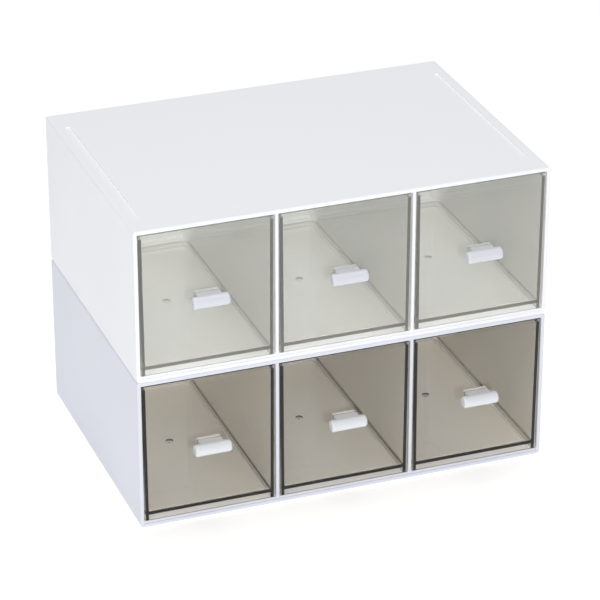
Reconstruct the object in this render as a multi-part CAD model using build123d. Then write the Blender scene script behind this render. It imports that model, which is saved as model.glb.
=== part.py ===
from build123d import *
import os

# Stackable desk organizer: two equal modules, each a white casing with three
# see-through drawers.  Millimetres, +Z up, drawers open towards -Y.  The origin is
# the middle of the footprint, handles included, on the surface it stands on.

# Casing
CASE_WIDTH = 350.0
CASE_DEPTH = 240.0
CASE_HEIGHT = 131.0
WALL = 3.0
TOP_EDGE_RADIUS = 1.8
BOTTOM_EDGE_RADIUS = 2.8
RIM_RADIUS = 0.8
DRAWERS_PER_MODULE = 3

# Front sill and the runners that the drawers slide on
RAIL_HEIGHT = 2.2
SILL_DEPTH = 6.0
RAIL_WIDTH = 4.5
RAIL_BACK_GAP = 12.0

# Guides that hold the dividers under the casing's ceiling, and the closing stops
GUIDE_WIDTH = 1.5
GUIDE_HEIGHT = 2.0
GUIDE_FRONT = 12.0
GUIDE_BACK = 12.0
STOP_WIDTH = 20.0
STOP_DEPTH = 3.0
STOP_HEIGHT = 9.0

# Stacking grooves in the top face, and the feet below that drop into them
GROOVE_WIDTH = 4.6
GROOVE_LENGTH = 186.0
GROOVE_DEPTH = 1.0
GROOVE_INSET = 11.0
FOOT_WIDTH = 3.6
FOOT_LENGTH = 184.0
FOOT_HEIGHT = 0.8
STACK_GAP = 0.2

# Back panel, a plate in the casing's open rear with a locating lip
BACK_THICKNESS = 2.5
BACK_LIP_DEPTH = 5.0
BACK_LIP_WALL = 2.0
FIT_GAP = 0.1

# Divider, a plate between two drawers
DIVIDER_THICKNESS = 3.0
DIVIDER_FRONT_RADIUS = 0.8

# Drawer tray, front plate and bin in one moulding
FRONT_SIDE_GAP = 0.6
FRONT_TOP_GAP = 1.0
RUNNING_GAP = 0.3
FRONT_THICKNESS = 2.3
FRONT_EDGE_RADIUS = 0.5
FRONT_CORNER_RADIUS = 1.2
FRONT_RECESS = 0.3
TRAY_WALL = 2.6
TRAY_INSET_TOP = 0.6
TRAY_INSET_BOTTOM = 1.2
TRAY_LENGTH = 212.0
TRAY_TOP_DROP = 3.5
FLOOR_RAISE = 4.6
TRAY_BACK_RADIUS = 8.0
INNER_FLOOR_RADIUS = 1.5
GATE_RADIUS = 3.2
GATE_DEPTH = 1.6
NIB_RADIUS = 0.9
NIB_HEIGHT = 1.0

# T-handle, a bar on a neck that snaps through a slot in the drawer's front
BAR_LENGTH = 30.5
BAR_RADIUS = 5.0
BAR_END_RADIUS = 1.8
BAR_STANDOFF = 7.5
NECK_WIDTH = 19.5
NECK_THICKNESS = 9.4
SLOT_GAP = 0.1
LIP_WIDTH = 18.4
LIP_RISE = 0.4
LIP_THICKNESS = 2.5

# Worked out from the sizes above
INNER_WIDTH = CASE_WIDTH - 2 * WALL
DIVIDER_COUNT = DRAWERS_PER_MODULE - 1
BAY_WIDTH = (INNER_WIDTH - DIVIDER_COUNT * DIVIDER_THICKNESS) / DRAWERS_PER_MODULE
BAY_PITCH = BAY_WIDTH + DIVIDER_THICKNESS
RAIL_TOP = WALL + RAIL_HEIGHT
CEILING = CASE_HEIGHT - WALL
REACH = BAR_STANDOFF + BAR_RADIUS - FRONT_RECESS
FRONT_Y = (REACH - CASE_DEPTH) / 2
BACK_Y = FRONT_Y + CASE_DEPTH
MIDDLE_Y = FRONT_Y + CASE_DEPTH / 2

FRONT_WIDTH = BAY_WIDTH - 2 * FRONT_SIDE_GAP
FRONT_BOTTOM = RAIL_TOP + RUNNING_GAP
FRONT_TOP = CEILING - FRONT_TOP_GAP
FRONT_FACE_Y = FRONT_Y + FRONT_RECESS
FRONT_BACK_Y = FRONT_FACE_Y + FRONT_THICKNESS
TRAY_TOP = FRONT_TOP - TRAY_TOP_DROP
TRAY_BACK_Y = FRONT_FACE_Y + TRAY_LENGTH
TRAY_FLOOR = FRONT_BOTTOM + FLOOR_RAISE
TRAY_FLOOR_TOP = TRAY_FLOOR + TRAY_WALL
BAR_HEIGHT = (FRONT_BOTTOM + FRONT_TOP) / 2

GROOVE_X = CASE_WIDTH / 2 - GROOVE_INSET
LOWER_Z = FOOT_HEIGHT
UPPER_Z = LOWER_Z + CASE_HEIGHT + STACK_GAP
MODULE_BASES = {"lower": LOWER_Z, "upper": UPPER_Z}
BAY_NAMES = ("left", "middle", "right")
DIVIDER_NAMES = ("left", "right")


def block(x_range, y_range, z_range):
    """A box from three pairs of limits."""
    size = [high - low for low, high in (x_range, y_range, z_range)]
    middle = [(high + low) / 2 for low, high in (x_range, y_range, z_range)]
    return Pos(*middle) * Box(*size)


def bay_centre(bay):
    """The x of a drawer bay's middle, counted from the left."""
    return (bay - (DRAWERS_PER_MODULE - 1) / 2) * BAY_PITCH


def divider_centre(place):
    """The x of a divider's middle, counted from the left."""
    return (place - (DIVIDER_COUNT - 1) / 2) * BAY_PITCH


def tray_half_width(height):
    """Half the bin's outer width at a height, between its bottom and top insets."""
    share = (height - FRONT_BOTTOM) / (FRONT_TOP - FRONT_BOTTOM)
    inset = TRAY_INSET_BOTTOM + (TRAY_INSET_TOP - TRAY_INSET_BOTTOM) * share
    return FRONT_WIDTH / 2 - inset


def casing_shell():
    """The open tube of the casing, with its long edges and both rims rounded."""
    outer = Rectangle(CASE_WIDTH, CASE_HEIGHT)
    corners = outer.vertices().sort_by(Axis.Y)
    outer = fillet(corners[:2], BOTTOM_EDGE_RADIUS)
    corners = outer.vertices().sort_by(Axis.Y)[-2:]
    outer = fillet(corners, TOP_EDGE_RADIUS)
    inner = Rectangle(INNER_WIDTH, CASE_HEIGHT - 2 * WALL)
    section = Pos(0, BACK_Y, CASE_HEIGHT / 2) * Rot(90, 0, 0) * (outer - inner)
    tube = extrude(section, amount=CASE_DEPTH)
    rims = tube.edges().filter_by(lambda edge: abs(edge.center().Y - MIDDLE_Y) > CASE_DEPTH / 2 - 0.01)
    outline = rims.filter_by(lambda edge: abs(edge.center().X) > CASE_WIDTH / 2 - WALL / 2
                             or abs(edge.center().Z - CASE_HEIGHT / 2) > CASE_HEIGHT / 2 - WALL / 2)
    return fillet(outline, RIM_RADIUS)


def runners():
    """Front sill, two runners under each drawer and the stop behind each."""
    sill_y = (FRONT_Y + RIM_RADIUS, FRONT_Y + SILL_DEPTH)
    parts = [block((-INNER_WIDTH / 2, INNER_WIDTH / 2), sill_y, (WALL, RAIL_TOP))]
    rail_y = (FRONT_Y + SILL_DEPTH, BACK_Y - RAIL_BACK_GAP)
    stop_y = (TRAY_BACK_Y + RUNNING_GAP, TRAY_BACK_Y + RUNNING_GAP + STOP_DEPTH)
    for bay in range(DRAWERS_PER_MODULE):
        centre = bay_centre(bay)
        reach = tray_half_width(FRONT_BOTTOM) - TRAY_WALL / 2
        for side in (-1, 1):
            rail = centre + side * reach
            parts.append(block((rail - RAIL_WIDTH / 2, rail + RAIL_WIDTH / 2), rail_y, (WALL, RAIL_TOP)))
        stop_x = (centre - STOP_WIDTH / 2, centre + STOP_WIDTH / 2)
        parts.append(block(stop_x, stop_y, (WALL, RAIL_TOP + STOP_HEIGHT)))
    return parts


def divider_guides():
    """Two thin ribs under the ceiling, one each side of every divider."""
    parts = []
    guide_y = (FRONT_Y + GUIDE_FRONT, BACK_Y - GUIDE_BACK)
    for place in range(DIVIDER_COUNT):
        for side in (-1, 1):
            near = divider_centre(place) + side * (DIVIDER_THICKNESS / 2 + FIT_GAP)
            far = near + side * GUIDE_WIDTH
            guide_x = (min(near, far), max(near, far))
            parts.append(block(guide_x, guide_y, (CEILING - GUIDE_HEIGHT, CEILING)))
    return parts


def long_slot(width, length, height, x, base):
    """A round-ended bar along Y, used for the grooves and for the feet."""
    return extrude(Pos(x, MIDDLE_Y, base) * Rot(0, 0, 90) * SlotOverall(length, width), amount=height)


def casing():
    """Casing: shell, runners and guides, grooves in the top, feet below."""
    body = casing_shell()
    for part in runners() + divider_guides():
        body += part
    for x in (-GROOVE_X, GROOVE_X):
        body += long_slot(FOOT_WIDTH, FOOT_LENGTH, FOOT_HEIGHT, x, -FOOT_HEIGHT)
        body -= long_slot(GROOVE_WIDTH, GROOVE_LENGTH, GROOVE_DEPTH, x, CASE_HEIGHT - GROOVE_DEPTH)
    return body


def back_panel():
    """Rear plate with a lip that runs round inside it."""
    half = INNER_WIDTH / 2 - FIT_GAP
    low = WALL + FIT_GAP
    high = CEILING - FIT_GAP
    plate_front = BACK_Y - BACK_THICKNESS
    lip_front = plate_front - BACK_LIP_DEPTH
    plate = block((-half, half), (plate_front, BACK_Y), (low, high))
    lip = block((-half, half), (lip_front, plate_front), (low, high))
    hollow = block((-half + BACK_LIP_WALL, half - BACK_LIP_WALL), (lip_front, plate_front),
                   (low + BACK_LIP_WALL, high - BACK_LIP_WALL))
    return plate + (lip - hollow)


def divider(place):
    """Plate between two drawers, with its front edge rounded."""
    centre = divider_centre(place)
    half = DIVIDER_THICKNESS / 2
    back = BACK_Y - BACK_THICKNESS - BACK_LIP_DEPTH - FIT_GAP
    plate_z = (WALL + FIT_GAP / 2, CEILING - FIT_GAP / 2)
    plate = block((centre - half, centre + half), (FRONT_Y, back), plate_z)
    sill_y = (FRONT_Y, FRONT_Y + SILL_DEPTH + FIT_GAP)
    foot = block((centre - half, centre + half), sill_y, (WALL, RAIL_TOP + FIT_GAP))
    plate -= foot
    front_edges = plate.edges().filter_by(Axis.Z).group_by(Axis.Y)[0]
    return fillet(front_edges, DIVIDER_FRONT_RADIUS)


def bin_section(height, wall_offset, back_offset):
    """The bin's outline at a height, pulled in by an offset, round at its back corners."""
    half = tray_half_width(height) - wall_offset
    front = FRONT_BACK_Y - FRONT_THICKNESS / 2
    back = TRAY_BACK_Y - back_offset
    outline = Pos(0, (front + back) / 2) * Rectangle(2 * half, back - front)
    rear = outline.vertices().sort_by(Axis.Y)[-2:]
    rounded = fillet(rear, TRAY_BACK_RADIUS - wall_offset)
    return Pos(0, 0, height) * rounded


def drawer_tray(bay):
    """Front plate and tapered bin with skirts below its floor and a sunk moulding gate on it."""
    front_height = FRONT_TOP - FRONT_BOTTOM
    plate_place = Pos(0, FRONT_BACK_Y, (FRONT_TOP + FRONT_BOTTOM) / 2) * Rot(90, 0, 0)
    plate = plate_place * Rectangle(FRONT_WIDTH, front_height)
    plate = fillet(plate.vertices(), FRONT_CORNER_RADIUS)
    front = extrude(plate, amount=FRONT_THICKNESS)
    front = fillet(front.edges().group_by(Axis.Y)[0], FRONT_EDGE_RADIUS)

    outside = loft([bin_section(FRONT_BOTTOM, 0, 0).face(), bin_section(TRAY_TOP, 0, 0).face()])
    inside = loft([bin_section(TRAY_FLOOR_TOP, TRAY_WALL, TRAY_WALL).face(),
                   bin_section(TRAY_TOP + TRAY_WALL, TRAY_WALL, TRAY_WALL).face()])
    below = loft([bin_section(FRONT_BOTTOM - TRAY_WALL, TRAY_WALL, TRAY_WALL).face(),
                  bin_section(TRAY_FLOOR, TRAY_WALL, TRAY_WALL).face()])
    ahead = block((-FRONT_WIDTH, FRONT_WIDTH), (FRONT_FACE_Y - FRONT_WIDTH, FRONT_BACK_Y), (0, CASE_HEIGHT))
    inside = inside - ahead
    floor_edges = inside.edges().group_by(Axis.Z)[0]
    inside = fillet(floor_edges, INNER_FLOOR_RADIUS)
    tray = front + (outside - ahead) - inside - (below - ahead)

    gate_floor = Pos(0, (FRONT_BACK_Y + TRAY_BACK_Y) / 2, TRAY_FLOOR_TOP - GATE_DEPTH)
    standing = (Align.CENTER, Align.CENTER, Align.MIN)
    gate = gate_floor * Cylinder(GATE_RADIUS, TRAY_WALL, align=standing)
    nib = gate_floor * Cylinder(NIB_RADIUS, NIB_HEIGHT, align=standing)
    slot = block((-NECK_WIDTH / 2 - SLOT_GAP, NECK_WIDTH / 2 + SLOT_GAP),
                 (FRONT_FACE_Y - SLOT_GAP, FRONT_BACK_Y + SLOT_GAP),
                 (BAR_HEIGHT - NECK_THICKNESS / 2 - SLOT_GAP, BAR_HEIGHT + NECK_THICKNESS / 2 + SLOT_GAP))
    return Pos(bay_centre(bay), 0, 0) * (tray - gate + nib - slot)


def t_handle(bay):
    """Round bar, flat neck through the front's slot, and the lips that hold it."""
    bar_y = FRONT_FACE_Y - BAR_STANDOFF
    bar = Pos(0, bar_y, BAR_HEIGHT) * Rot(0, 90, 0) * Cylinder(BAR_RADIUS, BAR_LENGTH)
    bar = fillet(bar.edges().filter_by(GeomType.CIRCLE), BAR_END_RADIUS)
    lip_front = FRONT_BACK_Y + SLOT_GAP / 2
    lip_back = lip_front + LIP_THICKNESS
    half_neck = NECK_THICKNESS / 2
    neck = block((-NECK_WIDTH / 2, NECK_WIDTH / 2), (bar_y, lip_back),
                 (BAR_HEIGHT - half_neck, BAR_HEIGHT + half_neck))
    lip = block((-LIP_WIDTH / 2, LIP_WIDTH / 2), (lip_front, lip_back),
                (BAR_HEIGHT - half_neck - LIP_RISE, BAR_HEIGHT + half_neck + LIP_RISE))
    return Pos(bay_centre(bay), 0, 0) * (bar + neck + lip)


def module(level):
    """Every piece of one module, by name, standing on its own base height."""
    pieces = {f"casing_{level}": casing(), f"back_panel_{level}": back_panel()}
    for place, side in enumerate(DIVIDER_NAMES):
        pieces[f"divider_{level}_{side}"] = divider(place)
    for bay, side in enumerate(BAY_NAMES):
        pieces[f"drawer_tray_{level}_{side}"] = drawer_tray(bay)
        pieces[f"t_handle_{level}_{side}"] = t_handle(bay)
    return {name: Pos(0, 0, MODULE_BASES[level]) * piece for name, piece in pieces.items()}


os.makedirs("parts", exist_ok=True)
for level in MODULE_BASES:
    for name, piece in module(level).items():
        export_step(piece, f"parts/{name}.step")
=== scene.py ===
"""Looks of a stackable desk organizer: two white modules, each with three smoky drawers.

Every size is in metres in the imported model's own frame.  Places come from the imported
nodes; wall thicknesses, radii and gaps are the fields of the class that uses them.
"""
import logging
import math
from collections.abc import Callable, Iterable
from dataclasses import dataclass, field
from enum import Enum

import bmesh
import bpy
from mathutils import Matrix, Vector


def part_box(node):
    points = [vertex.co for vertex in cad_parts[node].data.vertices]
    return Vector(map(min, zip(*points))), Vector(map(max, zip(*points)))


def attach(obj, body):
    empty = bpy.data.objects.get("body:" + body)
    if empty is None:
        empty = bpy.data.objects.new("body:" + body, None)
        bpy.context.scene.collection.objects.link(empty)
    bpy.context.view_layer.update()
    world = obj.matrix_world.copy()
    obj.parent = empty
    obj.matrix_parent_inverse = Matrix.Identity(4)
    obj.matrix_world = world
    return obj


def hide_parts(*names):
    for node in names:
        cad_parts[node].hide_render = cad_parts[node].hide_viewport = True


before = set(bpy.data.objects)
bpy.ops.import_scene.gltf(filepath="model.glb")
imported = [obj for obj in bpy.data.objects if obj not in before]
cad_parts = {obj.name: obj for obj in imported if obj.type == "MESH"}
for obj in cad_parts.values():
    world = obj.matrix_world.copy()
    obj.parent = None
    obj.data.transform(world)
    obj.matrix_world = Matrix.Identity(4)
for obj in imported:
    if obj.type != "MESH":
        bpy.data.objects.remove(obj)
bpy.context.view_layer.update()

PLASTIC_IOR = 1.5
SAME_PLACE = 1e-6
SAME_DIRECTION = 0.999
log = logging.getLogger("desk_organizer")


class Level(Enum):
    """The two modules of the stack."""

    LOWER = "lower"
    UPPER = "upper"


class Bay(Enum):
    """The three drawer places of a module, seen from the front."""

    LEFT = "left"
    MIDDLE = "middle"
    RIGHT = "right"


class Solid(Enum):
    """How one closed shape is combined with another."""

    ADD = "UNION"
    CUT = "DIFFERENCE"


class Shading(Enum):
    """How a piece's faces are shaded."""

    SMOOTH = "smooth over its rounded edges"
    FACETED = "face by face, because a bent normal shows as a false edge in clear plastic"


# ---------------------------------------------------------------- mesh helpers


def box_mesh(low: Vector, high: Vector) -> bmesh.types.BMesh:
    """A closed box between two corners.

    Args:
        low: The lowest corner.
        high: The highest corner.

    Returns:
        A new bmesh that holds the box.
    """
    shape = bmesh.new()
    bmesh.ops.create_cube(shape, size=1.0)
    bmesh.ops.scale(shape, vec=high - low, verts=shape.verts)
    bmesh.ops.translate(shape, vec=(low + high) / 2, verts=shape.verts)
    return shape


def round_edges(
    shape: bmesh.types.BMesh,
    chosen: Callable[[bmesh.types.BMEdge], bool],
    radius: float,
    segments: int,
) -> None:
    """Rounds the edges that a test picks.

    Args:
        shape: The bmesh to change.
        chosen: Says whether an edge is rounded.
        radius: The radius of the rounding.
        segments: How many faces run across it.
    """
    edges = [edge for edge in shape.edges if chosen(edge)]
    bmesh.ops.bevel(
        shape, geom=edges, offset=radius, offset_type="OFFSET", affect="EDGES",
        segments=segments, profile=0.5, material=-1, clamp_overlap=True,
    )


def along(edge: bmesh.types.BMEdge, axis: int) -> bool:
    """Whether an edge runs along one of the three axes."""
    run = (edge.verts[1].co - edge.verts[0].co).normalized()
    return abs(run[axis]) > SAME_DIRECTION


def lies_at(edge: bmesh.types.BMEdge, axis: int, value: float) -> bool:
    """Whether both ends of an edge have one coordinate at a value."""
    return all(abs(vert.co[axis] - value) < SAME_PLACE for vert in edge.verts)


def object_from(shape: bmesh.types.BMesh, name: str) -> bpy.types.Object:
    """Turns a bmesh into an object at the origin and frees the bmesh.

    Args:
        shape: The finished bmesh.
        name: The object's name.

    Returns:
        The new object, linked to the scene.
    """
    bmesh.ops.recalc_face_normals(shape, faces=shape.faces)
    mesh = bpy.data.meshes.new(name)
    shape.to_mesh(mesh)
    shape.free()
    made = bpy.data.objects.new(name, mesh)
    bpy.context.scene.collection.objects.link(made)
    return made


def apply_modifiers(target: bpy.types.Object) -> None:
    """Bakes an object's modifiers into its mesh."""
    bpy.context.view_layer.update()
    graph = bpy.context.evaluated_depsgraph_get()
    baked = bpy.data.meshes.new_from_object(target.evaluated_get(graph))
    old = target.data
    baked.name = old.name
    target.modifiers.clear()
    target.data = baked
    bpy.data.meshes.remove(old)


def combine(target: bpy.types.Object, tool: bmesh.types.BMesh, how: Solid) -> None:
    """Adds a closed shape to an object, or cuts it out of it.

    Args:
        target: The object that changes.
        tool: The closed shape, used up here.
        how: Whether it is added or cut.
    """
    other = object_from(tool, "tool")
    step = target.modifiers.new("solid", "BOOLEAN")
    step.operation = how.value
    step.solver = "EXACT"
    step.object = other
    apply_modifiers(target)
    mesh = other.data
    bpy.data.objects.remove(other)
    bpy.data.meshes.remove(mesh)


def soften(target: bpy.types.Object, width: float, segments: int = 2, angle: float = 50.0) -> None:
    """Rounds every edge that is sharper than an angle, as a mould does.

    Args:
        target: The object to finish.
        width: The width of the rounding.
        segments: How many faces run across it.
        angle: The smallest angle in degrees that counts as sharp.
    """
    step = target.modifiers.new("soft edges", "BEVEL")
    step.width = width
    step.segments = segments
    step.limit_method = "ANGLE"
    step.angle_limit = math.radians(angle)
    step.use_clamp_overlap = True
    step.harden_normals = False
    apply_modifiers(target)


def smooth(target: bpy.types.Object, angle: float = 32.0) -> None:
    """Shades an object smooth apart from sharp edges, and keeps its large faces flat.

    Args:
        target: The object to shade.
        angle: The angle in degrees past which an edge stays sharp.
    """
    target.data.polygons.foreach_set("use_smooth", [True] * len(target.data.polygons))
    target.data.set_sharp_from_angle(angle=math.radians(angle))
    step = target.modifiers.new("flat faces", "WEIGHTED_NORMAL")
    step.mode = "FACE_AREA"
    step.weight = 100
    step.keep_sharp = True
    apply_modifiers(target)


def settle(
    piece: bpy.types.Object,
    material: bpy.types.Material,
    body: str,
    stands_for: Iterable[str] = (),
    shading: Shading = Shading.SMOOTH,
) -> bpy.types.Object:
    """Dresses a finished piece and hangs it on its body.

    Args:
        piece: The piece, in place.
        material: Its finish.
        body: The body that it rides on.
        stands_for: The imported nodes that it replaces.
        shading: How its faces are shaded.

    Returns:
        The same piece.
    """
    if shading is Shading.SMOOTH:
        smooth(piece)
    piece.data.materials.clear()
    piece.data.materials.append(material)
    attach(piece, body)
    for node in stands_for:
        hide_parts(node)
    log.info("%s: %d faces on %s", piece.name, len(piece.data.polygons), body)
    return piece


# ------------------------------------------------------------------- finishes


def new_group(name: str, inputs: dict[str, float], outputs: Iterable[str]) -> bpy.types.NodeTree:
    """A shader node group with plain number inputs and outputs.

    Args:
        name: The group's name.
        inputs: Each input's name and default.
        outputs: The names of the outputs.

    Returns:
        The group, with its input and output nodes in it.
    """
    group = bpy.data.node_groups.new(name, "ShaderNodeTree")
    coordinate = group.interface.new_socket("Vector", in_out="INPUT", socket_type="NodeSocketVector")
    coordinate.hide_value = True
    for label, default in inputs.items():
        made = group.interface.new_socket(label, in_out="INPUT", socket_type="NodeSocketFloat")
        made.default_value = default
    for label in outputs:
        group.interface.new_socket(label, in_out="OUTPUT", socket_type="NodeSocketFloat")
    group.nodes.new("NodeGroupInput")
    group.nodes.new("NodeGroupOutput")
    return group


def noise(tree: bpy.types.NodeTree, detail: float, roughness: float) -> bpy.types.Node:
    """A noise texture with its detail set."""
    node = tree.nodes.new("ShaderNodeTexNoise")
    node.inputs["Detail"].default_value = detail
    node.inputs["Roughness"].default_value = roughness
    return node


def span(
    tree: bpy.types.NodeTree, source: bpy.types.NodeSocket, low: float, high: float,
    to_low: float, to_high: float,
) -> bpy.types.NodeSocket:
    """Maps a value from one range to another, clamped.

    Args:
        tree: The node tree to add to.
        source: The value to map.
        low: The value that becomes to_low.
        high: The value that becomes to_high.
        to_low: The result at the low end.
        to_high: The result at the high end.

    Returns:
        The mapped value's socket.
    """
    node = tree.nodes.new("ShaderNodeMapRange")
    node.inputs["From Min"].default_value = low
    node.inputs["From Max"].default_value = high
    node.inputs["To Min"].default_value = to_low
    node.inputs["To Max"].default_value = to_high
    tree.links.new(source, node.inputs["Value"])
    return node.outputs["Result"]


def arithmetic(
    tree: bpy.types.NodeTree, operation: str, first: bpy.types.NodeSocket,
    second: bpy.types.NodeSocket | float,
) -> bpy.types.NodeSocket:
    """One step of arithmetic between a socket and a socket or number.

    Args:
        tree: The node tree to add to.
        operation: The Math node's operation.
        first: The first value.
        second: The second value.

    Returns:
        The result's socket.
    """
    node = tree.nodes.new("ShaderNodeMath")
    node.operation = operation
    tree.links.new(first, node.inputs[0])
    if isinstance(second, float):
        node.inputs[1].default_value = second
    else:
        tree.links.new(second, node.inputs[1])
    return node.outputs[0]


def moulded_skin_group() -> bpy.types.NodeTree:
    """Fine spark-eroded grain and slow sheen changes of a moulded face.

    Returns:
        A group with Grain, Drift and Height outputs.
    """
    scales = {"Grain Scale": 2600.0, "Drift Scale": 9.0}
    group = new_group("moulded_skin", scales, ("Grain", "Drift", "Height"))
    source, sink = group.nodes["Group Input"], group.nodes["Group Output"]
    grain = noise(group, 2.0, 0.55)
    drift = noise(group, 3.0, 0.5)
    for node, label in ((grain, "Grain Scale"), (drift, "Drift Scale")):
        group.links.new(source.outputs["Vector"], node.inputs["Vector"])
        group.links.new(source.outputs[label], node.inputs["Scale"])
    group.links.new(span(group, grain.outputs["Fac"], 0.3, 0.7, 0.0, 1.0), sink.inputs["Grain"])
    group.links.new(span(group, drift.outputs["Fac"], 0.3, 0.7, 0.0, 1.0), sink.inputs["Drift"])
    ripple = arithmetic(group, "MULTIPLY", drift.outputs["Fac"], 0.4)
    group.links.new(arithmetic(group, "ADD", ripple, grain.outputs["Fac"]), sink.inputs["Height"])
    return group


def handling_marks_group() -> bpy.types.NodeTree:
    """Faint rub marks: thin crossing scratches, present only in patches.

    Returns:
        A group with one Marks output, 0 to 1.
    """
    group = new_group("handling_marks", {"Scale": 30.0, "Amount": 0.5}, ("Marks",))
    source, sink = group.nodes["Group Input"], group.nodes["Group Output"]
    patches = noise(group, 2.0, 0.5)
    group.links.new(source.outputs["Vector"], patches.inputs["Vector"])
    patches.inputs["Scale"].default_value = 14.0
    where = span(group, patches.outputs["Fac"], 0.5, 0.68, 0.0, 1.0)
    strokes = []
    for turn, stretch in ((0.5, 26.0), (-0.9, 18.0)):
        mapping = group.nodes.new("ShaderNodeMapping")
        mapping.inputs["Rotation"].default_value = (turn, turn * 0.6, turn)
        mapping.inputs["Scale"].default_value = (1.0, stretch, stretch)
        group.links.new(source.outputs["Vector"], mapping.inputs["Vector"])
        streak = noise(group, 1.0, 0.4)
        group.links.new(mapping.outputs["Vector"], streak.inputs["Vector"])
        group.links.new(source.outputs["Scale"], streak.inputs["Scale"])
        strokes.append(span(group, streak.outputs["Fac"], 0.66, 0.72, 0.0, 1.0))
    lines = arithmetic(group, "MAXIMUM", strokes[0], strokes[1])
    present = arithmetic(group, "MULTIPLY", lines, where)
    amount = arithmetic(group, "MULTIPLY", present, source.outputs["Amount"])
    group.links.new(amount, sink.inputs["Marks"])
    return group


@dataclass
class Finishes:
    """The shared effects, made once."""

    skin: bpy.types.NodeTree = field(default_factory=moulded_skin_group)
    marks: bpy.types.NodeTree = field(default_factory=handling_marks_group)


def use_group(
    material: bpy.types.Material, group: bpy.types.NodeTree, values: dict[str, float]
) -> bpy.types.Node:
    """Places a shared effect in a material, on Object coordinates.

    Args:
        material: The material to add to.
        group: The effect.
        values: This material's own input values.

    Returns:
        The group's node.
    """
    tree = material.node_tree
    node = tree.nodes.new("ShaderNodeGroup")
    node.node_tree = group
    place = tree.nodes.new("ShaderNodeTexCoord")
    tree.links.new(place.outputs["Object"], node.inputs["Vector"])
    for label, value in values.items():
        node.inputs[label].default_value = value
    return node


def bump(
    tree: bpy.types.NodeTree, height: bpy.types.NodeSocket, strength: float, distance: float
) -> bpy.types.NodeSocket:
    """A Bump node's normal for a height value."""
    node = tree.nodes.new("ShaderNodeBump")
    node.inputs["Strength"].default_value = strength
    node.inputs["Distance"].default_value = distance
    tree.links.new(height, node.inputs["Height"])
    return node.outputs["Normal"]


def let_light_pass(tree: bpy.types.NodeTree, colour: tuple[float, float, float]) -> None:
    """Lets part of the direct light through a surface, so what is behind it is lit.

    Args:
        tree: The material's node tree, with its Principled shader in place.
        colour: The share of red, green and blue light that passes each face.
    """
    passing = tree.nodes.new("ShaderNodeBsdfTransparent")
    passing.inputs["Color"].default_value = (*colour, 1.0)
    light = tree.nodes.new("ShaderNodeLightPath")
    choose = tree.nodes.new("ShaderNodeMixShader")
    tree.links.new(light.outputs["Is Shadow Ray"], choose.inputs["Fac"])
    tree.links.new(tree.nodes["Principled BSDF"].outputs["BSDF"], choose.inputs[1])
    tree.links.new(passing.outputs["BSDF"], choose.inputs[2])
    tree.links.new(choose.outputs["Shader"], tree.nodes["Material Output"].inputs["Surface"])


@dataclass(frozen=True)
class MouldedWhite:
    """White moulded plastic with a satin skin.

    Attributes:
        name: The material's name.
        colour: Its colour, linear.
        shade: The slightly deeper colour that it drifts to.
        roughness: The roughness at its glossiest.
        roughness_drift: How much rougher it gets in places.
        grain: How strongly its fine grain shows.
        grain_depth: How deep the grain is, in metres.
        rubbing: How much rougher a rub mark is.
        soaks: The share of light that each face of a thin wall lets through.
    """

    name: str
    colour: tuple[float, float, float]
    shade: tuple[float, float, float]
    roughness: float = 0.34
    roughness_drift: float = 0.08
    grain: float = 0.12
    grain_depth: float = 0.00006
    rubbing: float = 0.12
    soaks: float = 0.0

    def make(self, finishes: Finishes) -> bpy.types.Material:
        """Builds the material.

        Args:
            finishes: The shared effects.

        Returns:
            The finished material.
        """
        material = bpy.data.materials.new(self.name)
        material.use_nodes = True
        tree = material.node_tree
        shader = tree.nodes["Principled BSDF"]
        shader.inputs["IOR"].default_value = PLASTIC_IOR
        shader.inputs["Metallic"].default_value = 0.0
        skin = use_group(material, finishes.skin, {"Grain Scale": 2600.0, "Drift Scale": 7.0})
        marks = use_group(material, finishes.marks, {"Scale": 26.0, "Amount": 0.6})
        tone = tree.nodes.new("ShaderNodeMix")
        tone.data_type = "RGBA"
        tone.inputs["A"].default_value = (*self.colour, 1.0)
        tone.inputs["B"].default_value = (*self.shade, 1.0)
        tree.links.new(skin.outputs["Drift"], tone.inputs["Factor"])
        tree.links.new(tone.outputs["Result"], shader.inputs["Base Color"])
        roughest = self.roughness + self.roughness_drift
        drift = span(tree, skin.outputs["Drift"], 0.0, 1.0, self.roughness, roughest)
        rubbed = arithmetic(tree, "MULTIPLY", marks.outputs["Marks"], self.rubbing)
        tree.links.new(arithmetic(tree, "ADD", drift, rubbed), shader.inputs["Roughness"])
        relief = bump(tree, skin.outputs["Height"], self.grain, self.grain_depth)
        tree.links.new(relief, shader.inputs["Normal"])
        if self.soaks > 0:
            let_light_pass(tree, (self.soaks, self.soaks, self.soaks))
        return material


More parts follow.
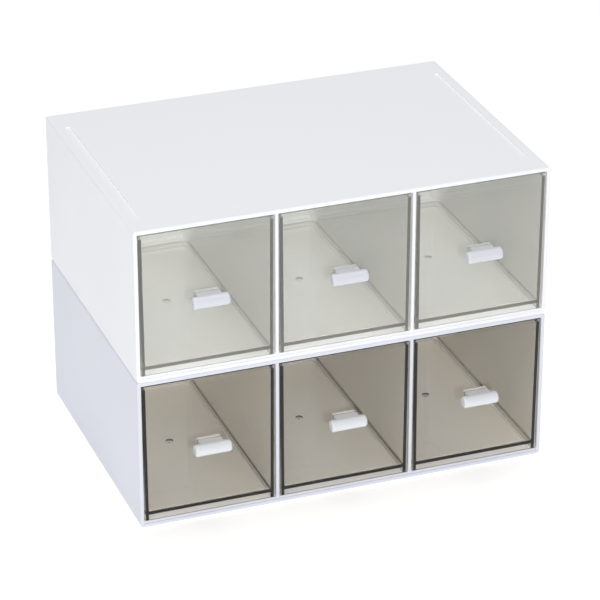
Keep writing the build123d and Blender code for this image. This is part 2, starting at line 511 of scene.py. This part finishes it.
@dataclass(frozen=True)
class SmokedClear:
    """See-through smoky plastic, tinted through its thickness.

    Attributes:
        name: The material's name.
        tint: The colour that passes best, linear.
        density: How strongly it absorbs, per metre.
        shadow: The colour of the light that passes into the drawer.
        clarity: How clear it is: 1 has no milkiness at all.
        haze: The colour of its milkiness.
        roughness: The polish of its faces.
        rubbing: How much rougher a rub mark is.
    """

    name: str
    tint: tuple[float, float, float]
    density: float
    shadow: tuple[float, float, float]
    clarity: float = 1.0
    haze: tuple[float, float, float] = (1.0, 1.0, 1.0)
    roughness: float = 0.002
    rubbing: float = 0.16

    def make(self, finishes: Finishes) -> bpy.types.Material:
        """Builds the material.

        Args:
            finishes: The shared effects.

        Returns:
            The finished material.
        """
        material = bpy.data.materials.new(self.name)
        material.use_nodes = True
        tree = material.node_tree
        shader = tree.nodes["Principled BSDF"]
        shader.inputs["Base Color"].default_value = (*self.haze, 1.0)
        shader.inputs["Metallic"].default_value = 0.0
        shader.inputs["IOR"].default_value = PLASTIC_IOR
        shader.inputs["Transmission Weight"].default_value = self.clarity
        skin = use_group(material, finishes.skin, {"Grain Scale": 60.0, "Drift Scale": 12.0})
        marks = use_group(material, finishes.marks, {"Scale": 34.0, "Amount": 0.5})
        polish = span(tree, skin.outputs["Drift"], 0.0, 1.0, self.roughness, self.roughness * 2.0)
        rubbed = arithmetic(tree, "MULTIPLY", marks.outputs["Marks"], self.rubbing)
        tree.links.new(arithmetic(tree, "ADD", polish, rubbed), shader.inputs["Roughness"])

        let_light_pass(tree, self.shadow)
        smoke = tree.nodes.new("ShaderNodeVolumeAbsorption")
        smoke.inputs["Color"].default_value = (*self.tint, 1.0)
        smoke.inputs["Density"].default_value = self.density
        tree.links.new(smoke.outputs["Volume"], tree.nodes["Material Output"].inputs["Volume"])
        return material


# --------------------------------------------------------------------- pieces


@dataclass
class Casing:
    """A module's white casing: shell, runners, guides, stacking grooves and feet.

    Attributes:
        level: Which module it belongs to.
        material: The white finish.
    """

    level: Level
    material: bpy.types.Material
    wall: float = 0.003
    top_radius: float = 0.0018
    bottom_radius: float = 0.0028
    rim_radius: float = 0.0008
    groove_width: float = 0.0046
    groove_length: float = 0.186
    groove_depth: float = 0.001
    groove_inset: float = 0.011
    foot_width: float = 0.0036
    foot_length: float = 0.184
    foot_height: float = 0.0008
    rail_height: float = 0.0022
    rail_width: float = 0.0045
    rail_back_gap: float = 0.012
    sill_depth: float = 0.006
    guide_width: float = 0.0015
    guide_height: float = 0.002
    guide_gap: float = 0.012
    fit_gap: float = 0.0001
    stop_size: tuple[float, float, float] = (0.020, 0.003, 0.009)
    stop_gap: float = 0.0003
    soft_edge: float = 0.0003

    def __post_init__(self) -> None:
        """Reads the casing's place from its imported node."""
        self.node = f"casing_{self.level.value}"
        self.body = f"{self.level.value}_module"
        low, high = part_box(self.node)
        self.low = low + Vector((0.0, 0.0, self.foot_height))
        self.high = high
        self.floor = self.low.z + self.wall
        self.ceiling = self.high.z - self.wall
        self.middle = (self.low + self.high) / 2

    def long_slot(self, side: int, width: float, length: float, low: float, high: float) -> bmesh.types.BMesh:
        """A bar with round ends along Y, near one side of the casing.

        Args:
            side: -1 for the left side, 1 for the right.
            width: Its width.
            length: Its length over the ends.
            low: The height of its underside.
            high: The height of its top.

        Returns:
            The closed bar.
        """
        shape = bmesh.new()
        bmesh.ops.create_circle(shape, cap_ends=True, radius=width / 2, segments=24)
        half_run = (length - width) / 2
        for end in (-1, 1):
            verts = [vert for vert in shape.verts if vert.co.y * end > SAME_PLACE]
            bmesh.ops.translate(shape, vec=(0.0, end * half_run, 0.0), verts=verts)
        grown = bmesh.ops.extrude_face_region(shape, geom=shape.faces[:])
        raised = [item for item in grown["geom"] if isinstance(item, bmesh.types.BMVert)]
        bmesh.ops.translate(shape, vec=(0.0, 0.0, high - low), verts=raised)
        x = side * ((self.high.x - self.low.x) / 2 - self.groove_inset)
        bmesh.ops.translate(shape, vec=(self.middle.x + x, self.middle.y, low), verts=shape.verts)
        return shape

    def shell(self) -> bpy.types.Object:
        """The tube of the casing with its grooves and feet.

        Returns:
            The shell's object.
        """
        low, high = self.low, self.high
        shape = box_mesh(low, high)
        round_edges(shape, lambda edge: along(edge, 1) and lies_at(edge, 2, high.z), self.top_radius, 5)
        round_edges(shape, lambda edge: along(edge, 1) and lies_at(edge, 2, low.z), self.bottom_radius, 6)
        for rim in (low.y, high.y):
            round_edges(shape, lambda edge: lies_at(edge, 1, rim), self.rim_radius, 3)
        made = object_from(shape, self.node)
        inner_low = Vector((low.x + self.wall, low.y - self.wall, self.floor))
        inner_high = Vector((high.x - self.wall, high.y + self.wall, self.ceiling))
        combine(made, box_mesh(inner_low, inner_high), Solid.CUT)
        for side in (-1, 1):
            groove = self.long_slot(
                side, self.groove_width, self.groove_length, high.z - self.groove_depth, high.z + self.wall
            )
            combine(made, groove, Solid.CUT)
            foot = self.long_slot(
                side, self.foot_width, self.foot_length, low.z - self.foot_height, low.z + self.wall / 2
            )
            combine(made, foot, Solid.ADD)
        soften(made, self.soft_edge)
        return made

    def bay_centre(self, bay: Bay) -> float:
        """The x of a drawer place's middle, read from its packed tray."""
        low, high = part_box(f"drawer_tray_{self.level.value}_{bay.value}")
        return (low.x + high.x) / 2

    def runner_boxes(self) -> list[tuple[Vector, Vector]]:
        """The corners of the sill, the runners and the closing stops.

        Returns:
            A low and a high corner for each box.
        """
        rail_top = self.floor + self.rail_height
        boxes = [
            (
                Vector((self.low.x + self.wall, self.low.y + self.rim_radius, self.floor)),
                Vector((self.high.x - self.wall, self.low.y + self.sill_depth, rail_top)),
            )
        ]
        for bay in Bay:
            tray_low, tray_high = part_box(f"drawer_tray_{self.level.value}_{bay.value}")
            centre = self.bay_centre(bay)
            reach = (tray_high.x - tray_low.x) / 2 - DrawerTray.inset_bottom - DrawerTray.wall / 2
            for side in (-1, 1):
                rail = centre + side * reach
                boxes.append(
                    (
                        Vector((rail - self.rail_width / 2, self.low.y + self.sill_depth, self.floor)),
                        Vector((rail + self.rail_width / 2, self.high.y - self.rail_back_gap, rail_top)),
                    )
                )
            width, depth, height = self.stop_size
            start = tray_high.y + self.stop_gap
            boxes.append(
                (
                    Vector((centre - width / 2, start, self.floor)),
                    Vector((centre + width / 2, start + depth, rail_top + height)),
                )
            )
        return boxes

    def guide_boxes(self) -> list[tuple[Vector, Vector]]:
        """The corners of the ribs that hold the dividers under the ceiling.

        Returns:
            A low and a high corner for each rib.
        """
        boxes = []
        for place in ("left", "right"):
            low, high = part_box(f"divider_{self.level.value}_{place}")
            left_end = low.x - self.fit_gap
            right_start = high.x + self.fit_gap
            for near, far in (
                (left_end - self.guide_width, left_end),
                (right_start, right_start + self.guide_width),
            ):
                boxes.append(
                    (
                        Vector((near, self.low.y + self.guide_gap, self.ceiling - self.guide_height)),
                        Vector((far, self.high.y - self.guide_gap, self.ceiling)),
                    )
                )
        return boxes

    def ribs(self, name: str, boxes: list[tuple[Vector, Vector]]) -> bpy.types.Object:
        """One object of separate closed ribs with softened edges.

        Args:
            name: The object's name.
            boxes: A low and a high corner for each rib.

        Returns:
            The ribs' object.
        """
        whole = bmesh.new()
        for low, high in boxes:
            rib = box_mesh(low, high)
            round_edges(rib, lambda edge: True, self.soft_edge, 2)
            mesh = bpy.data.meshes.new("rib")
            rib.to_mesh(mesh)
            rib.free()
            whole.from_mesh(mesh)
            bpy.data.meshes.remove(mesh)
        return object_from(whole, name)

    def build(self) -> None:
        """Builds and dresses the casing's pieces."""
        settle(self.shell(), self.material, self.body, [self.node])
        runners = self.ribs(f"runners_{self.level.value}", self.runner_boxes())
        settle(runners, self.material, self.body)
        guides = self.ribs(f"divider_guides_{self.level.value}", self.guide_boxes())
        settle(guides, self.material, self.body)


@dataclass
class BackPanel:
    """The rear plate with a locating lip inside and a shallow sunk field outside."""

    level: Level
    material: bpy.types.Material
    thickness: float = 0.0025
    lip_wall: float = 0.002
    field_margin: float = 0.009
    field_depth: float = 0.0006
    soft_edge: float = 0.0004

    def build(self) -> None:
        """Builds and dresses the panel."""
        node = f"back_panel_{self.level.value}"
        low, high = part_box(node)
        plate_front = high.y - self.thickness
        shape = box_mesh(Vector((low.x, plate_front, low.z)), high)
        inner = [face for face in shape.faces if face.normal.y < -0.9]
        bmesh.ops.inset_region(shape, faces=inner, thickness=self.lip_wall, use_even_offset=True)
        ring = [face for face in shape.faces if face.normal.y < -0.9 and face not in inner]
        grown = bmesh.ops.extrude_face_region(shape, geom=ring)
        raised = [item for item in grown["geom"] if isinstance(item, bmesh.types.BMVert)]
        bmesh.ops.translate(shape, vec=(0.0, low.y - plate_front, 0.0), verts=raised)
        bmesh.ops.delete(shape, geom=[face for face in ring if face.is_valid], context="FACES_ONLY")
        outer = [face for face in shape.faces if face.normal.y > 0.9]
        for step in (self.field_margin, self.field_depth):
            bmesh.ops.inset_region(shape, faces=outer, thickness=step, use_even_offset=True)
        sunk = list({vert for face in outer for vert in face.verts})
        bmesh.ops.translate(shape, vec=(0.0, -self.field_depth, 0.0), verts=sunk)
        made = object_from(shape, node)
        soften(made, self.soft_edge, angle=30.0)
        settle(made, self.material, f"{self.level.value}_module", [node])


@dataclass
class Divider:
    """The plate between two drawers, round along its front edge and notched for the sill."""

    level: Level
    place: str
    material: bpy.types.Material
    front_radius: float = 0.0012
    sill_depth: float = 0.0061
    sill_height: float = 0.0023
    soft_edge: float = 0.0003

    def build(self) -> None:
        """Builds and dresses the divider."""
        node = f"divider_{self.level.value}_{self.place}"
        low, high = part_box(node)
        shape = box_mesh(low, high)
        round_edges(shape, lambda edge: along(edge, 2) and lies_at(edge, 1, low.y), self.front_radius, 4)
        made = object_from(shape, node)
        spare = Vector((self.sill_depth, self.sill_depth, self.sill_depth))
        notch_high = Vector((high.x, low.y + self.sill_depth, low.z + self.sill_height))
        notch = box_mesh(low - spare, notch_high + Vector((spare.x, 0.0, 0.0)))
        combine(made, notch, Solid.CUT)
        soften(made, self.soft_edge)
        settle(made, self.material, f"{self.level.value}_module", [node])


@dataclass
class DrawerTray:
    """A smoky drawer: front plate and tapered bin in one moulding."""

    level: Level
    bay: Bay
    material: bpy.types.Material
    wall: float = 0.0026
    front_thickness: float = 0.0023
    corner_radius: float = 0.0012
    front_edge: float = 0.0005
    inset_top: float = 0.0006
    inset_bottom: float = 0.0012
    top_drop: float = 0.0035
    floor_raise: float = 0.0046
    back_radius: float = 0.008
    floor_fillet: float = 0.0015
    gate_radius: float = 0.0032
    gate_depth: float = 0.0016
    nib_radius: float = 0.0009
    nib_height: float = 0.001
    slot_width: float = 0.0197
    slot_height: float = 0.0096
    soft_edge: float = 0.00025

    def __post_init__(self) -> None:
        """Reads the tray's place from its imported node."""
        self.node = f"drawer_tray_{self.level.value}_{self.bay.value}"
        self.low, self.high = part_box(self.node)
        self.centre = (self.low.x + self.high.x) / 2
        self.front_back = self.low.y + self.front_thickness
        self.top = self.high.z - self.top_drop
        self.floor = self.low.z + self.floor_raise

    def half_width(self, height: float) -> float:
        """Half the bin's outer width at a height."""
        share = (height - self.low.z) / (self.high.z - self.low.z)
        inset = self.inset_bottom + (self.inset_top - self.inset_bottom) * share
        return (self.high.x - self.low.x) / 2 - inset

    def bin_shape(self, low: float, high: float, offset: float, front: float) -> bmesh.types.BMesh:
        """A tapered block with round rear corners, pulled in by an offset.

        Args:
            low: The height of its underside.
            high: The height of its top.
            offset: How far its sides and rear stand in from the bin's outside.
            front: The y of its front.

        Returns:
            The closed block.
        """
        back = self.high.y - offset
        half_low = self.half_width(low) - offset
        half_high = self.half_width(high) - offset
        shape = bmesh.new()
        bmesh.ops.create_grid(shape, x_segments=1, y_segments=1, size=0.5)
        bmesh.ops.scale(shape, vec=(2 * half_low, back - front, 1.0), verts=shape.verts)
        bmesh.ops.translate(shape, vec=(0.0, (back + front) / 2, low), verts=shape.verts)
        rear = [vert for vert in shape.verts if vert.co.y > (back + front) / 2]
        bmesh.ops.bevel(
            shape, geom=rear, offset=self.back_radius - offset, offset_type="OFFSET", affect="VERTICES",
            segments=16, profile=0.5, material=-1, clamp_overlap=True,
        )
        grown = bmesh.ops.extrude_face_region(shape, geom=shape.faces[:])
        raised = [item for item in grown["geom"] if isinstance(item, bmesh.types.BMVert)]
        bmesh.ops.translate(shape, vec=(0.0, 0.0, high - low), verts=raised)
        bmesh.ops.scale(shape, vec=(half_high / half_low, 1.0, 1.0), verts=raised)
        bmesh.ops.translate(shape, vec=(self.centre, 0.0, 0.0), verts=shape.verts)
        return shape

    def front_plate(self) -> bmesh.types.BMesh:
        """The front plate, with round corners and a softened face.

        Returns:
            The closed plate.
        """
        plate = box_mesh(self.low, Vector((self.high.x, self.front_back, self.high.z)))
        round_edges(plate, lambda edge: along(edge, 1), self.corner_radius, 5)
        round_edges(plate, lambda edge: lies_at(edge, 1, self.low.y), self.front_edge, 3)
        return plate

    def gate_post(self, radius: float, height: float) -> bmesh.types.BMesh:
        """A round post that stands on the bottom of the sunk moulding gate.

        Args:
            radius: Its radius.
            height: Its height.

        Returns:
            The closed post.
        """
        shape = bmesh.new()
        bmesh.ops.create_cone(
            shape, cap_ends=True, cap_tris=False, segments=32, radius1=radius, radius2=radius, depth=height
        )
        base = self.floor + self.wall - self.gate_depth
        place = Vector((self.centre, (self.front_back + self.high.y) / 2, base + height / 2))
        bmesh.ops.translate(shape, vec=place, verts=shape.verts)
        return shape

    def build(self) -> None:
        """Builds and dresses the tray."""
        made = object_from(self.front_plate(), self.node)
        plate_middle = self.low.y + self.front_thickness / 2
        combine(made, self.bin_shape(self.low.z, self.top, 0.0, plate_middle), Solid.ADD)
        floor_top = self.floor + self.wall
        inside = self.bin_shape(floor_top, self.top + self.wall, self.wall, self.front_back)
        round_edges(inside, lambda edge: lies_at(edge, 2, floor_top), self.floor_fillet, 6)
        combine(made, inside, Solid.CUT)
        below = self.bin_shape(self.low.z - self.wall, self.floor, self.wall, self.front_back)
        combine(made, below, Solid.CUT)
        combine(made, self.gate_post(self.gate_radius, self.wall), Solid.CUT)
        combine(made, self.gate_post(self.nib_radius, self.nib_height), Solid.ADD)
        slot_half = Vector((self.slot_width / 2, self.front_thickness, self.slot_height / 2))
        slot_middle = Vector((self.centre, plate_middle, (self.low.z + self.high.z) / 2))
        combine(made, box_mesh(slot_middle - slot_half, slot_middle + slot_half), Solid.CUT)
        soften(made, self.soft_edge, segments=3)
        body = f"drawer_{self.level.value}_{self.bay.value}"
        settle(made, self.material, body, [self.node], Shading.FACETED)


@dataclass
class THandle:
    """A round bar on a flat neck, held behind the drawer's front by a lip."""

    level: Level
    bay: Bay
    material: bpy.types.Material
    bar_radius: float = 0.005
    end_radius: float = 0.0018
    neck_width: float = 0.0195
    neck_thickness: float = 0.0094
    lip_width: float = 0.0184
    lip_rise: float = 0.0004
    lip_thickness: float = 0.0025
    soft_edge: float = 0.0004

    def build(self) -> None:
        """Builds and dresses the handle."""
        node = f"t_handle_{self.level.value}_{self.bay.value}"
        low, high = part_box(node)
        axis = Vector(((low.x + high.x) / 2, low.y + self.bar_radius, (low.z + high.z) / 2))
        bar = bmesh.new()
        bmesh.ops.create_cone(
            bar, cap_ends=True, cap_tris=False, segments=64,
            radius1=self.bar_radius, radius2=self.bar_radius, depth=high.x - low.x,
        )
        bmesh.ops.rotate(bar, matrix=Matrix.Rotation(math.pi / 2, 3, "Y"), verts=bar.verts)
        half = (high.x - low.x) / 2
        round_edges(bar, lambda edge: lies_at(edge, 0, half) or lies_at(edge, 0, -half), self.end_radius, 6)
        bmesh.ops.translate(bar, vec=axis, verts=bar.verts)
        made = object_from(bar, node)
        neck_half = Vector((self.neck_width / 2, 0.0, self.neck_thickness / 2))
        neck_end = Vector((axis.x, high.y, axis.z))
        combine(made, box_mesh(axis - neck_half, neck_end + neck_half), Solid.ADD)
        lip_half = Vector((self.lip_width / 2, 0.0, self.neck_thickness / 2 + self.lip_rise))
        lip_start = neck_end - Vector((0.0, self.lip_thickness, 0.0))
        combine(made, box_mesh(lip_start - lip_half, neck_end + lip_half), Solid.ADD)
        soften(made, self.soft_edge, segments=3)
        body = f"drawer_{self.level.value}_{self.bay.value}"
        settle(made, self.material, body, [node])


# --------------------------------------------------------------------- studio


@dataclass(frozen=True)
class Studio:
    """Pale floor, soft light and the camera.

    Attributes:
        aim: The point that the camera looks at.
        azimuth: The camera's turn round the object, in degrees.
        elevation: Its height above the horizon, in degrees.
        distance: Its distance from the aim.
        lens: Its focal length in millimetres.
    """

    aim: tuple[float, float, float] = (0.0032, -0.0007, 0.1211)
    azimuth: float = -20.42
    elevation: float = 26.73
    distance: float = 2.539
    lens: float = 182.8
    floor_size: float = 12.0
    floor_glow: float = 0.4
    floor_tone: float = 0.8
    world_strength: float = 0.32
    key_watts: float = 36.0
    key_place: tuple[float, float, float] = (-1.1, -2.3, 1.3)
    key_size: float = 1.2
    top_watts: float = 34.0
    top_place: tuple[float, float, float] = (0.2, 0.3, 2.8)
    top_size: float = 1.4

    def camera(self) -> None:
        """Makes the camera and sets it as the scene's own."""
        turn, rise = math.radians(self.azimuth), math.radians(self.elevation)
        back = Vector((math.sin(turn) * math.cos(rise), -math.cos(turn) * math.cos(rise), math.sin(rise)))
        data = bpy.data.cameras.new("studio_camera")
        data.lens = self.lens
        data.clip_end = 100.0
        made = bpy.data.objects.new("studio_camera", data)
        made.location = Vector(self.aim) + back * self.distance
        made.rotation_mode = "QUATERNION"
        made.rotation_quaternion = (-back).to_track_quat("-Z", "Y")
        bpy.context.scene.collection.objects.link(made)
        bpy.context.scene.camera = made

    def floor(self) -> None:
        """Makes the pale floor that the object stands on."""
        shape = bmesh.new()
        bmesh.ops.create_grid(shape, x_segments=1, y_segments=1, size=self.floor_size / 2)
        made = object_from(shape, "studio_floor")
        material = bpy.data.materials.new("studio_floor")
        material.use_nodes = True
        shader = material.node_tree.nodes["Principled BSDF"]
        shader.inputs["Base Color"].default_value = (self.floor_tone, self.floor_tone, self.floor_tone, 1.0)
        shader.inputs["Roughness"].default_value = 0.9
        shader.inputs["Specular IOR Level"].default_value = 0.0
        shader.inputs["Emission Color"].default_value = (1.0, 1.0, 1.0, 1.0)
        shader.inputs["Emission Strength"].default_value = self.floor_glow
        made.data.materials.append(material)

    def lamp(self, name: str, place: Vector, size: float, watts: float) -> None:
        """A square soft light that faces the aim.

        Args:
            name: The light's name.
            place: Where it stands.
            size: The length of its side.
            watts: Its power.
        """
        data = bpy.data.lights.new(name, "AREA")
        data.shape = "SQUARE"
        data.size = size
        data.energy = watts
        made = bpy.data.objects.new(name, data)
        made.location = place
        made.rotation_mode = "QUATERNION"
        made.rotation_quaternion = (Vector(self.aim) - place).to_track_quat("-Z", "Y")
        bpy.context.scene.collection.objects.link(made)

    def light(self) -> None:
        """Makes the soft surround and the two large lights."""
        world = bpy.data.worlds.new("studio")
        world.use_nodes = True
        background = world.node_tree.nodes["Background"]
        background.inputs["Color"].default_value = (1.0, 1.0, 1.0, 1.0)
        background.inputs["Strength"].default_value = self.world_strength
        bpy.context.scene.world = world
        self.lamp("key_light", Vector(self.key_place), self.key_size, self.key_watts)
        self.lamp("top_light", Vector(self.top_place), self.top_size, self.top_watts)

    def render_settings(self) -> None:
        """Sets the view's plain colours and enough bounces for clear walls."""
        scene = bpy.context.scene
        scene.view_settings.view_transform = "Standard"
        scene.cycles.use_denoising = True
        scene.cycles.max_bounces = 24
        scene.cycles.transmission_bounces = 24
        scene.cycles.transparent_max_bounces = 24
        scene.render.film_transparent = False

    def build(self) -> None:
        """Builds the whole studio."""
        self.camera()
        self.floor()
        self.light()
        self.render_settings()


# One white plastic in two brightnesses: the lower casing's copy is darkened as painted shade on the lower
# module, and the upper casing's copy is lightened as painted light on the upper module.
LOWER_WHITE_PAINTED_SHADE = MouldedWhite("lower_casing_white_painted_shade", (0.73, 0.75, 0.83), (0.71, 0.735, 0.82), soaks=0.95)
UPPER_WHITE_PAINTED_LIGHT = MouldedWhite("upper_casing_white_painted_light", (0.90, 0.915, 0.95), (0.88, 0.90, 0.94), soaks=0.92)
LOWER_HANDLE = MouldedWhite("lower_handle_white", (0.75, 0.77, 0.81), (0.73, 0.75, 0.80), 0.28, grain=0.06)
# The upper handles use a darker copy of the lower handle white: painted shade, not a different plastic.
UPPER_HANDLE_PAINTED_SHADE = MouldedWhite("upper_handle_white_painted_shade", (0.67, 0.69, 0.74), (0.65, 0.67, 0.73), 0.28, grain=0.06)
LOWER_SMOKE = SmokedClear("lower_smoke", (0.78, 0.705, 0.52), 110.0, (0.86, 0.86, 0.86))
UPPER_SMOKE = SmokedClear(
    "upper_smoke", (0.60, 0.56, 0.45), 60.0, (0.9, 0.9, 0.9), clarity=0.88, haze=(0.86, 0.865, 0.845)
)


def main() -> None:
    """Builds the studio and both modules."""
    logging.basicConfig(level=logging.INFO, format="%(message)s")
    Studio().build()
    finishes = Finishes()
    handles = {Level.LOWER: LOWER_HANDLE.make(finishes), Level.UPPER: UPPER_HANDLE_PAINTED_SHADE.make(finishes)}
    whites = {Level.LOWER: LOWER_WHITE_PAINTED_SHADE.make(finishes), Level.UPPER: UPPER_WHITE_PAINTED_LIGHT.make(finishes)}
    smokes = {Level.LOWER: LOWER_SMOKE.make(finishes), Level.UPPER: UPPER_SMOKE.make(finishes)}
    for level in Level:
        Casing(level, whites[level]).build()
        BackPanel(level, whites[level]).build()
        for place in ("left", "right"):
            Divider(level, place, whites[level]).build()
        for bay in Bay:
            DrawerTray(level, bay, smokes[level]).build()
            THandle(level, bay, handles[level]).build()


if __name__ == "__main__":
    main()
